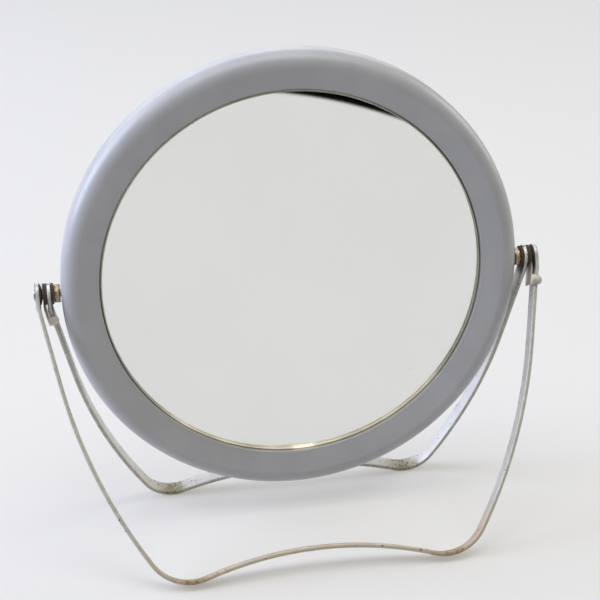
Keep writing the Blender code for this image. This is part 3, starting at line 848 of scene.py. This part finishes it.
def build_pin(name, side, material):
    """The pin: a plain shank with a low peened head outside the front leg's ear."""
    start, end = span_from_pivot(name)
    head_start = end - HEAD_HEIGHT
    outwards = Matrix.Translation(PIVOT) @ Matrix.Rotation(side * pi / 2, 4, "Y")
    dome = []
    for i in range(13):
        a = pi / 2 * i / 12
        dome.append((HEAD_RADIUS * sin(a), head_start + (end - head_start) * (0.35 + 0.65 * cos(a))))
    tip = 0.4 * MM
    shank = [(HEAD_RADIUS, head_start), (SHANK_RADIUS, head_start), (SHANK_RADIUS, start + tip)]
    profile = dome + shank + [(SHANK_RADIUS - tip, start), (0.0, start)]
    return turned("fine_" + name, profile, outwards, material, SMALL_STEPS)


# The casing and its glasses ---------------------------------------------------


def casing_profile():
    """The section of the casing: a rounded ring with a pocket on each side and a flange between them."""
    shoulder = (CASING_RADIUS - CASING_ROUNDING, CASING_HALF_DEPTH - CASING_ROUNDING)
    lip = (POCKET_RADIUS + LIP_ROUNDING, LIP_HEIGHT - LIP_ROUNDING)
    half = [(FLANGE_RADIUS, FLANGE_HALF), (POCKET_RADIUS, FLANGE_HALF)]
    half += arc(lip, LIP_ROUNDING, pi, radians(105.0), 8)
    half += arc(shoulder, CASING_ROUNDING, radians(100.0), 0.0, 28)
    return half + [(radius, -height) for radius, height in reversed(half)]


def dish(radius, curvature):
    """How far the glass's face stands below its rim's, for a face that is part of a sphere or flat."""
    if curvature is None:
        return 0.0
    rim = GLASS_RADIUS - GLASS_CHAMFER
    return (curvature**2 - radius**2) ** 0.5 - (curvature**2 - rim**2) ** 0.5


def disc_radii(reach):
    return [reach * i / GLASS_RINGS for i in range(GLASS_RINGS + 1)]


def pane_profile(thickness, curvature):
    """The glass, with a ground chamfer in front and a plain ground edge."""
    face = [(r, GLASS_HEIGHT - dish(r, curvature)) for r in disc_radii(GLASS_RADIUS - GLASS_CHAMFER)]
    back = [(r, h - thickness) for r, h in face]
    edge = [(GLASS_RADIUS, GLASS_HEIGHT - GLASS_CHAMFER), (GLASS_RADIUS, GLASS_HEIGHT - thickness)]
    return face + edge + list(reversed(back))


def silver_profile(thickness, curvature):
    """A thin disc just inside the glass's back, which it follows."""
    rise = thickness - SILVER_THICKNESS / 2
    face = [(r, GLASS_HEIGHT - rise - dish(r, curvature)) for r in disc_radii(GLASS_RADIUS - SILVER_MARGIN)]
    back = [(r, h - SILVER_THICKNESS) for r, h in face]
    return face + list(reversed(back))


def build_glass(word, facing, thickness, curvature, materials):
    glass, rim, silver = materials
    pane = turned(f"fine_{word}_pane", pane_profile(thickness, curvature), facing, glass, RING_STEPS)
    pane.data.materials.append(rim)
    limit = GLASS_RADIUS - GLASS_CHAMFER * 1.01
    for face in pane.data.polygons:
        if all(Vector(pane.data.vertices[i].co[:2]).length > limit for i in face.vertices):
            face.material_index = 1
    disc = turned(f"fine_{word}_silvering", silver_profile(thickness, curvature), facing, silver, RING_STEPS)
    return pane, disc


def build_casing(facing, material):
    obj = turned("fine_casing", casing_profile(), facing, material, RING_STEPS, ring=True)
    deepest = span_from_pivot("left_threaded_insert")[0] - 0.3 * MM
    for side, word in ((-1, "left"), (1, "right")):
        outwards = Matrix.Translation(PIVOT) @ Matrix.Rotation(side * pi / 2, 4, "Y")
        cut(obj, cylinder(word + "_bore", BORE_RADIUS, deepest, CASING_RADIUS + 0.01, outwards))
    obj.data.shade_smooth()
    obj.data.set_sharp_from_angle(angle=radians(35.0))
    return obj


# The studio -------------------------------------------------------------------


def plain_material(name, colour, roughness, grain_scale, contrast):
    g = Graph(name)
    grain = g.noise(g.object_point(), grain_scale, 4.0, 0.6)
    dark = tuple(c * (1 - contrast) for c in colour)
    g.set(Base_Color=g.mix(grain, dark, colour), Roughness=roughness)
    return g.material


def sheet(name, left, near, right, far, material):
    """A flat rectangle of the stage, facing up."""
    corners = ((left, near, 0.0), (right, near, 0.0), (right, far, 0.0), (left, far, 0.0))
    form = bmesh.new()
    form.faces.new([form.verts.new(corner) for corner in corners])
    obj = finished_object(name, form, Matrix.Identity(4), material)
    return obj


def soft_light(name, place, aim, width, height, power, colour):
    """A rectangular light at place, turned to aim. Sizes are in metres and power is in watts."""
    light = bpy.data.lights.new(name, "AREA")
    light.shape = "RECTANGLE"
    light.size = width
    light.size_y = height
    light.energy = power
    light.color = colour
    obj = bpy.data.objects.new(name, light)
    bpy.context.scene.collection.objects.link(obj)
    obj.location = place
    obj.rotation_euler = (Vector(aim) - Vector(place)).to_track_quat("-Z", "Y").to_euler()
    return obj


def shadow_edge():
    """Flat black that fades in over a little way, so that its edge looks soft in the glass."""
    g = Graph("stage_dark")
    g.set(Base_Color=(0.002, 0.002, 0.002), Roughness=1.0, Specular_IOR_Level=0.0)
    g.set(Alpha=g.ramp(g.coordinate(g.object_point(), 1), 0.0, CARD_FADE))
    return g.material


def build_studio():
    floor = plain_material("stage_paper", (0.375, 0.375, 0.375), 0.9, 40.0, 0.015)
    paper = floor.node_tree.nodes["Principled BSDF"]
    paper.inputs["Emission Color"].default_value = (1.0, 0.975, 0.925, 1.0)
    paper.inputs["Emission Strength"].default_value = FLOOR_GLOW
    sheet("floor", -FLOOR_REACH, -FLOOR_REACH, FLOOR_REACH, FLOOR_REACH, floor)
    card = sheet("dark_card", -CARD_SIZE, 0.0, 0.0, CARD_SIZE, shadow_edge())
    card.matrix_world = Matrix.Translation(PIVOT + CARD_CORNER) @ Matrix.Rotation(CARD_TURN, 4, "Z")
    card.visible_camera = False
    card.visible_diffuse = False
    card.visible_shadow = False
    world = bpy.data.worlds.new("studio_air")
    world.use_nodes = True
    air = world.node_tree.nodes["Background"]
    air.inputs["Color"].default_value = (0.90, 0.94, 1.0, 1.0)
    air.inputs["Strength"].default_value = 0.30
    world.cycles_visibility.diffuse = False
    bpy.context.scene.world = world
    soft_light("overhead", (0.1, 0.45, 1.7), (0.0, 0.15, 0.0), 3.0, 2.8, 14.5, (0.95, 0.92, 1.0))
    soft_light("front_top", (0.0, -0.35, 1.5), (0.0, -0.1, 0.0), 1.6, 1.0, 15.5, (1.0, 0.99, 0.94))
    soft_light("back", (-0.2, 2.3, 1.1), (0.0, 0.0, 0.1), 3.2, 1.6, 21.0, (0.90, 0.95, 1.0))
    soft_light("window", (-1.9, 0.35, 0.9), (0.0, 0.1, 0.05), 1.6, 1.4, 57.0, (0.71, 0.77, 1.0))
    soft_light("bounce", (1.9, 0.4, 0.8), (0.0, 0.1, 0.05), 1.2, 1.2, 15.5, (1.0, 0.98, 0.84))
    bpy.context.scene.view_settings.view_transform = "Standard"


def build_camera():
    """The camera looks down at the mirror from the front, a little to its left."""
    azimuth, elevation, roll = radians(-9.734), radians(22.281), radians(-1.066)
    distance, lens_share = 0.54969, 2.386877
    back = Vector((sin(azimuth) * cos(elevation), -cos(azimuth) * cos(elevation), sin(elevation)))
    level = Vector((cos(azimuth), sin(azimuth), 0.0))
    up = back.cross(level)
    right = level * cos(roll) + up * sin(roll)
    top = up * cos(roll) - level * sin(roll)
    target = Vector((PIVOT.x + 2.85 * MM, PIVOT.y, 88.158 * MM))
    data = bpy.data.cameras.new("camera")
    data.sensor_width = 36.0
    data.lens = lens_share * data.sensor_width
    data.clip_start = 0.01
    data.clip_end = 30.0
    camera = bpy.data.objects.new("camera", data)
    bpy.context.scene.collection.objects.link(camera)
    place = Matrix((right, top, back)).transposed().to_4x4()
    place.translation = target + back * distance
    camera.matrix_world = place
    bpy.context.scene.camera = camera


# Putting it together ----------------------------------------------------------


def keep_node(name, material):
    """A CAD node that stays as it is and gets a better material."""
    node = frame["nodes"][name]
    for slot in node.material_slots:
        slot.material = material
    if not node.material_slots:
        node.data.materials.append(material)


def place(obj, body, slot, node=None):
    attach(obj, body)
    if node:
        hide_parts(node)


def main():
    facing_front = Matrix.Translation(PIVOT) @ Matrix.Rotation(pi / 2, 4, "X")
    facing_back = Matrix.Translation(PIVOT) @ Matrix.Rotation(-pi / 2, 4, "X")
    place(build_casing(facing_front, casing_plastic()), "mirror", "casing_plastic", "casing")
    glass, silver = clear_glass(), silvering()
    # Only the front glass's ground edge gets the painted glow and glint.
    for word, facing, thickness, curvature, painted_glow in (
        ("front", facing_front, DISHED_GLASS_THICKNESS, DISHED_GLASS_RADIUS, True),
        ("rear", facing_back, PLAIN_GLASS_THICKNESS, None, False),
    ):
        materials = (glass, ground_edge(word, painted_glow), silver)
        pane, disc = build_glass(word, facing, thickness, curvature, materials)
        place(pane, "mirror", "mirror_glass", word + "_glass")
        place(disc, "mirror", "mirror_glass")
    keep_node("rear_backing_card", backing_card())
    keep_node("front_gasket", black_rubber())

    nickel = worn_nickel()
    place(build_leg("fine_front_leg", FRONT_LEG, nickel), "front_frame", "nickel_plated_steel", "front_leg")
    place(build_leg("fine_rear_leg", REAR_LEG, nickel), "rear_frame", "nickel_plated_steel", "rear_leg")

    brass, steel, pin = turned_brass(), grimy_steel(), pin_metal()
    for side, word in ((-1, "left"), (1, "right")):
        keep_node(word + "_threaded_insert", brass)
        barrel = word + "_barrel_spacer"
        place(build_barrel(barrel, side, brass), "mirror", "brass", barrel)
        for kind, body, dished in (
            ("_barrel_washer", "mirror", False),
            ("_leg_washer", "rear_frame", False),
            ("_spring_washer", "front_frame", True),
        ):
            place(build_washer(word + kind, side, steel, dished), body, "dull_steel", word + kind)
        name = word + "_pivot_pin"
        place(build_pin(name, side, pin), "mirror", "nickel_plated_steel", name)
    for name, side, leg, body in (
        ("left_stop_plate", -1, REAR_LEG, "rear_frame"),
        ("right_stop_plate", 1, FRONT_LEG, "front_frame"),
    ):
        place(build_stop_plate(name, side, leg, steel), body, "dull_steel", name)

    build_studio()
    build_camera()


main()
